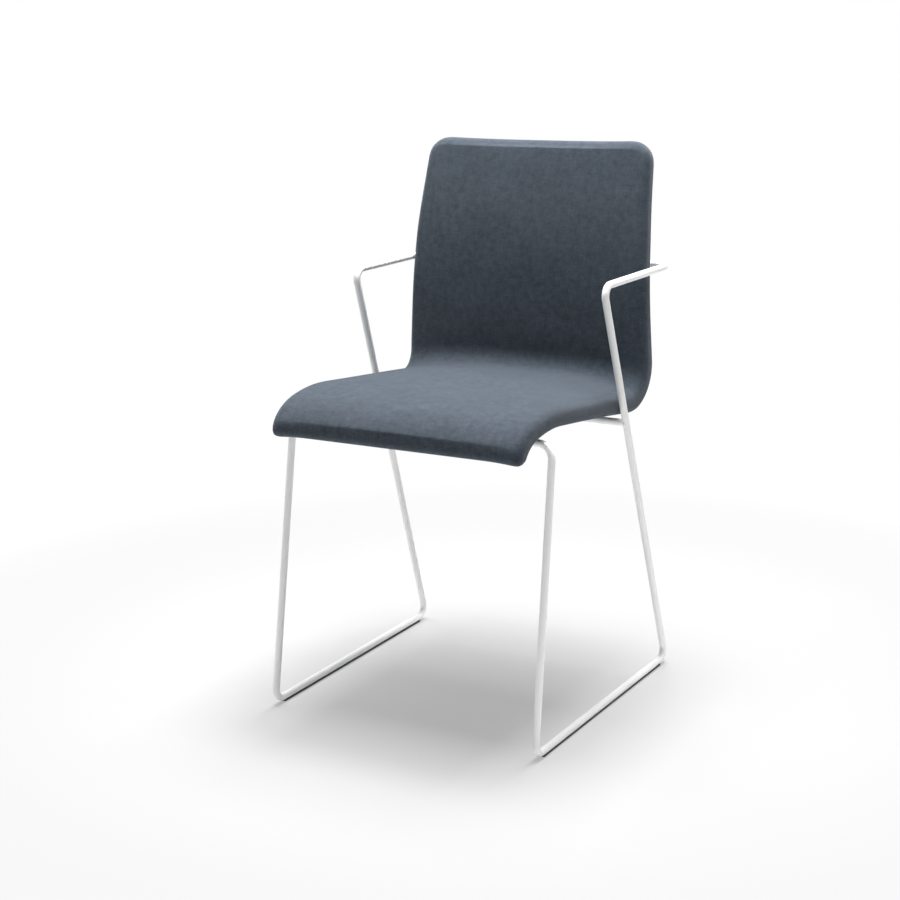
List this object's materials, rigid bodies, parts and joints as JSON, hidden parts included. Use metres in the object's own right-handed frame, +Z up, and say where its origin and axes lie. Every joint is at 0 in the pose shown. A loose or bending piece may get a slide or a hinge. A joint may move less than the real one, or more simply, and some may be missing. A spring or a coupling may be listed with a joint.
{
  "type": "sled base visitor chair",
  "caption": "Visitor chair with a one-piece upholstered seat and back shell on a bent white steel rod sled frame whose rear legs rise into slim armrests.",
  "frame": {"origin": "middle of the chair's bounding box seen from above, on the floor under the glide strips", "axes": "+Z up, -Y towards the front of the seat, +X towards the right-hand side seen from the front of the chair"},
  "size_m": [0.4658, 0.5018, 0.8353],
  "materials": {
    "white_rod": "satin white powder coat on steel rod",
    "white_plate": "satin white powder coat on steel plate",
    "pad_plastic": "moulded black nylon",
    "zinc_steel": "zinc plated steel",
    "plywood": "moulded beech plywood",
    "foam": "open cell polyurethane foam",
    "melange_fabric": "dark blue-grey melange fine weave",
    "glide_nylon": "dark moulded nylon"
  },
  "bodies": {
    "root": {"side_frame_left": "white_rod", "side_frame_right": "white_rod", "rear_cross_rod": "white_rod", "mount_tab_front_left": "white_plate", "mount_tab_front_right": "white_plate", "mount_tab_rear_left": "white_plate", "mount_tab_rear_right": "white_plate", "spacer_pad_front_left": "pad_plastic", "spacer_pad_front_right": "pad_plastic", "spacer_pad_rear_left": "pad_plastic", "spacer_pad_rear_right": "pad_plastic", "mounting_screws": "zinc_steel", "screw_washers": "zinc_steel", "tee_nuts": "zinc_steel", "plywood_shell": "plywood", "front_foam": "foam", "rear_foam": "foam", "front_cover": "melange_fabric", "rear_cover": "melange_fabric", "runner_glide_left": "glide_nylon", "runner_glide_right": "glide_nylon"}
  },
  "joints": []
}
